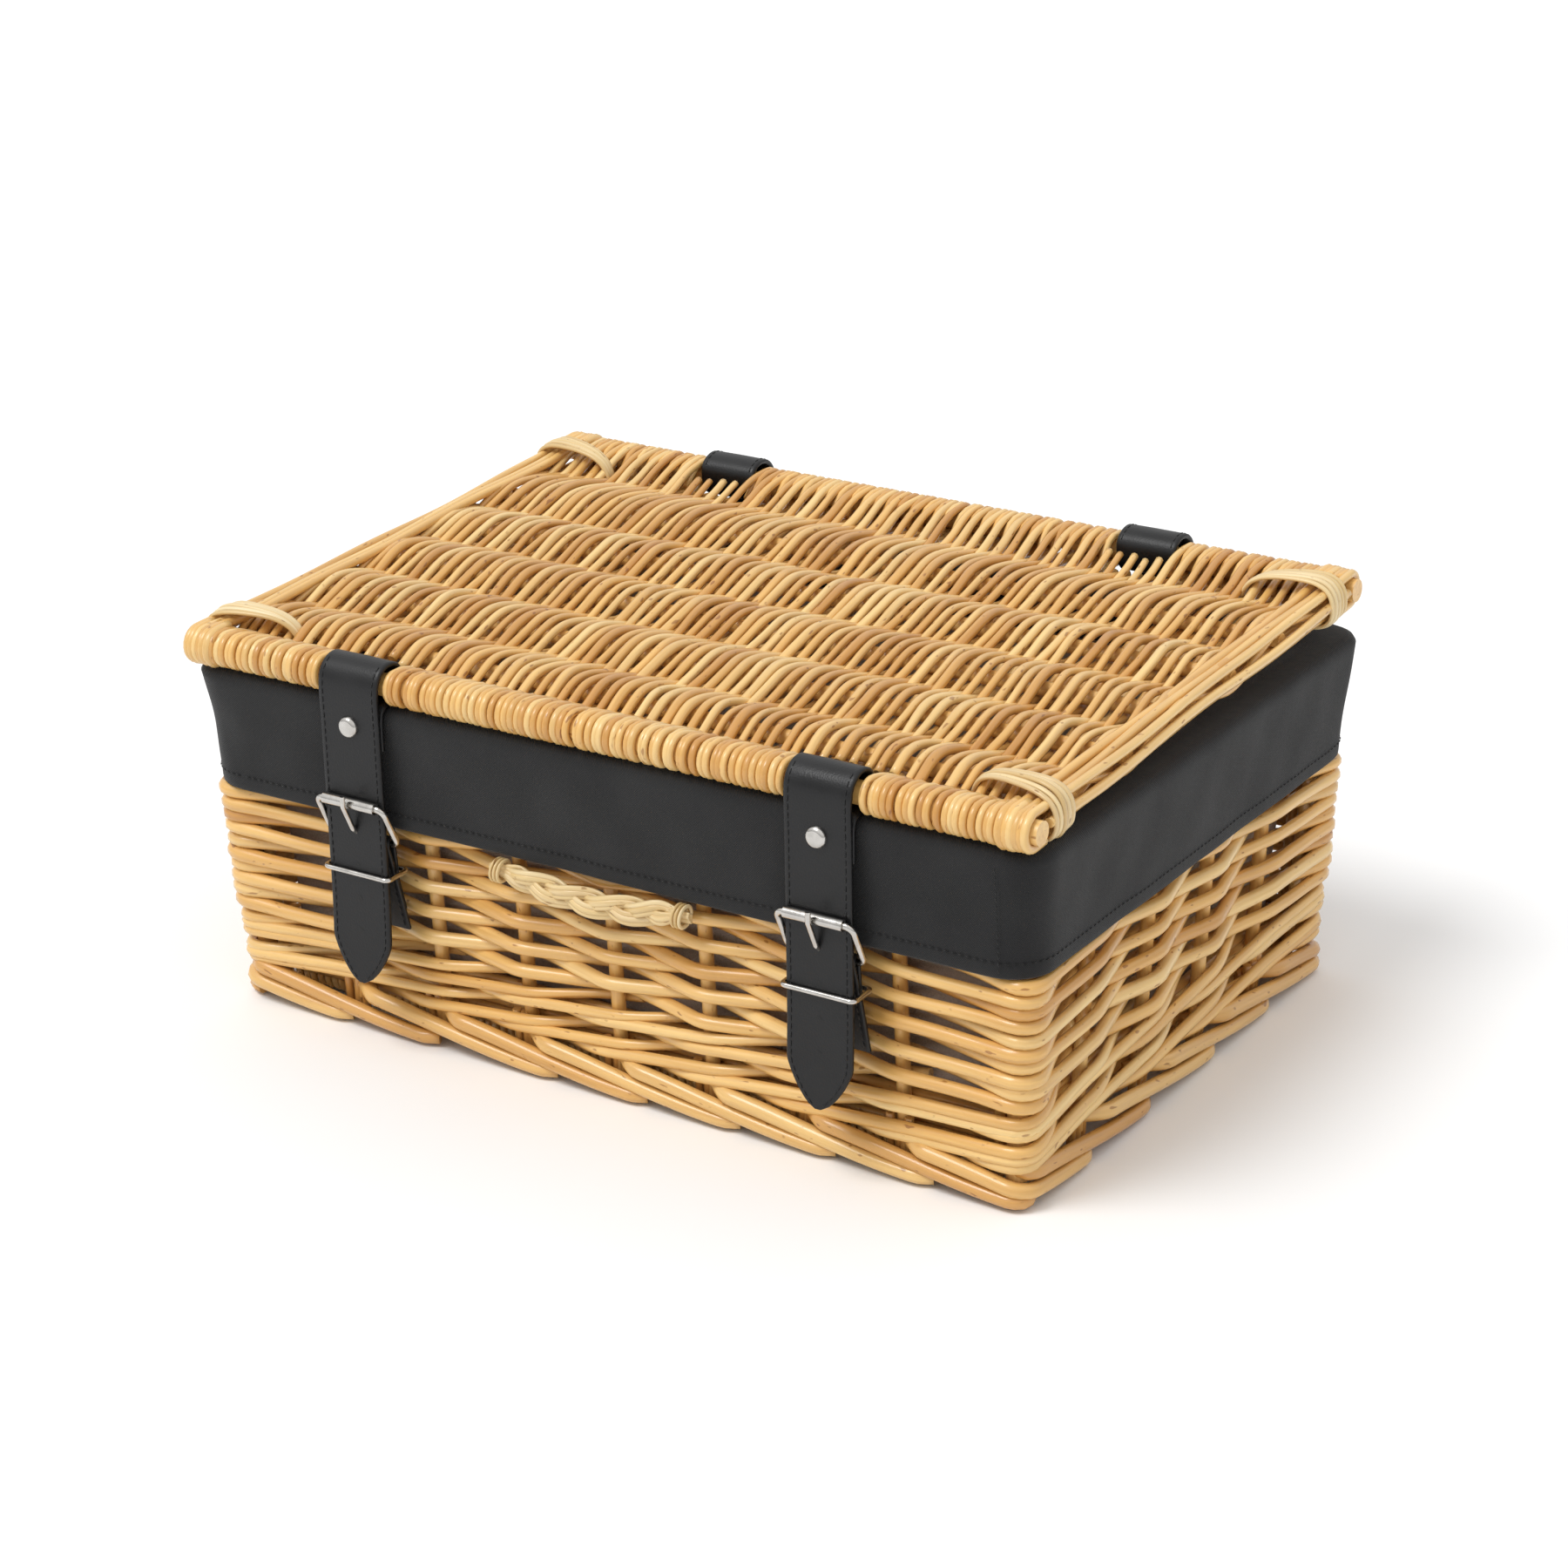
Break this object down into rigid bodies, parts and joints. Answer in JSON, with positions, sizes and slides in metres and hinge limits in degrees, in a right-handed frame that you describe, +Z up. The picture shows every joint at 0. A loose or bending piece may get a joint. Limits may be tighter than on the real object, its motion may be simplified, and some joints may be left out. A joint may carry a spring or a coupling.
{
  "type": "lined wicker picnic hamper",
  "caption": "Rectangular woven willow hamper with a cloth lining folded over its rim, a hinged woven lid closed by buckled leather straps, and a plaited front handle.",
  "frame": {"origin": "middle of the foot border's flat underside", "axes": "+X along the long side to the right, -Y to the front with the straps, +Z up"},
  "size_m": [0.462, 0.3514, 0.2099],
  "materials": {
    "willow": "varnished round willow rods",
    "skein": "pale split willow",
    "bag": "taupe woven cotton",
    "lining": "black woven cotton",
    "leather": "black stitched leather",
    "nickel": "bright nickel plate"
  },
  "bodies": {
    "basket": {"front_stakes": "willow", "front_wale": "willow", "front_weave": "willow", "right_stakes": "willow", "right_wale": "willow", "right_weave": "willow", "back_stakes": "willow", "back_wale": "willow", "back_weave": "willow", "left_stakes": "willow", "left_wale": "willow", "left_weave": "willow", "corner_post_front_left": "willow", "corner_post_front_right": "willow", "corner_post_back_left": "willow", "corner_post_back_right": "willow", "foot_border": "willow", "base_sticks": "willow", "base_weave": "willow", "rim_border": "willow", "lining_front_panel": "bag", "lining_right_panel": "bag", "lining_back_panel": "bag", "lining_left_panel": "bag", "lining_floor_panel": "bag", "lining_skirt": "lining", "hinge_loop_left": "leather", "hinge_loop_right": "leather", "hinge_rivets": "nickel", "buckle_tab_left": "leather", "buckle_tab_right": "leather", "tab_rivets": "nickel", "keeper_left": "nickel", "keeper_right": "nickel", "handle_loops": "skein"},
    "lid": {"lid_rear_stick": "willow", "lid_front_stick": "willow", "lid_middle_sticks": "willow", "lid_weave": "willow", "lid_side_rods_left": "willow", "lid_side_rods_right": "willow", "corner_lashings": "skein"},
    "handle": {"handle_plait": "skein"},
    "strap_left": {"closing_strap_left": "leather", "strap_rivet_left": "nickel"},
    "buckle_left": {"buckle_frame_left": "nickel"},
    "roller_left": {"buckle_roller_left": "nickel"},
    "prong_left": {"buckle_prong_left": "nickel"},
    "strap_right": {"closing_strap_right": "leather", "strap_rivet_right": "nickel"},
    "buckle_right": {"buckle_frame_right": "nickel"},
    "roller_right": {"buckle_roller_right": "nickel"},
    "prong_right": {"buckle_prong_right": "nickel"}
  },
  "joints": [
    {"name": "lid_hinge", "type": "hinge", "parent": "basket", "child": "lid", "pos_m": [0, 0.15006, 0.19859], "axis": [-1, 0, 0], "range_deg": [0, 105], "deforming": ["hinge_loop_left", "hinge_loop_right"]},
    {"name": "strap_swing_left", "type": "hinge", "parent": "lid", "child": "strap_left", "pos_m": [-0.127, -0.1577, 0.1865], "axis": [-1, 0, 0], "range_deg": [-84, 0], "deforming": ["closing_strap_left"]},
    {"name": "buckle_swing_left", "type": "hinge", "parent": "basket", "child": "buckle_left", "pos_m": [-0.127, -0.16247, 0.109], "axis": [1, 0, 0], "range_deg": [0, 75]},
    {"name": "prong_swing_left", "type": "hinge", "parent": "buckle_left", "child": "prong_left", "pos_m": [-0.127, -0.16247, 0.109], "axis": [1, 0, 0], "range_deg": [0, 45]},
    {"name": "roller_spin_left", "type": "hinge", "parent": "buckle_left", "child": "roller_left", "pos_m": [-0.127, -0.17227, 0.13], "axis": [1, 0, 0], "continuous": true},
    {"name": "strap_swing_right", "type": "hinge", "parent": "lid", "child": "strap_right", "pos_m": [0.127, -0.1577, 0.1865], "axis": [-1, 0, 0], "range_deg": [-84, 0], "deforming": ["closing_strap_right"]},
    {"name": "buckle_swing_right", "type": "hinge", "parent": "basket", "child": "buckle_right", "pos_m": [0.127, -0.16247, 0.109], "axis": [1, 0, 0], "range_deg": [0, 75]},
    {"name": "prong_swing_right", "type": "hinge", "parent": "buckle_right", "child": "prong_right", "pos_m": [0.127, -0.16247, 0.109], "axis": [1, 0, 0], "range_deg": [0, 45]},
    {"name": "roller_spin_right", "type": "hinge", "parent": "buckle_right", "child": "roller_right", "pos_m": [0.127, -0.17227, 0.13], "axis": [1, 0, 0], "continuous": true},
    {"name": "handle_swing", "type": "hinge", "parent": "basket", "child": "handle", "pos_m": [0, -0.16091, 0.109], "axis": [-1, 0, 0], "range_deg": [0, 85]}
  ],
  "couplings": [
    {"joint": "strap_swing_left", "follows": "lid_hinge", "ratio": -0.8},
    {"joint": "strap_swing_right", "follows": "lid_hinge", "ratio": -0.8}
  ]
}
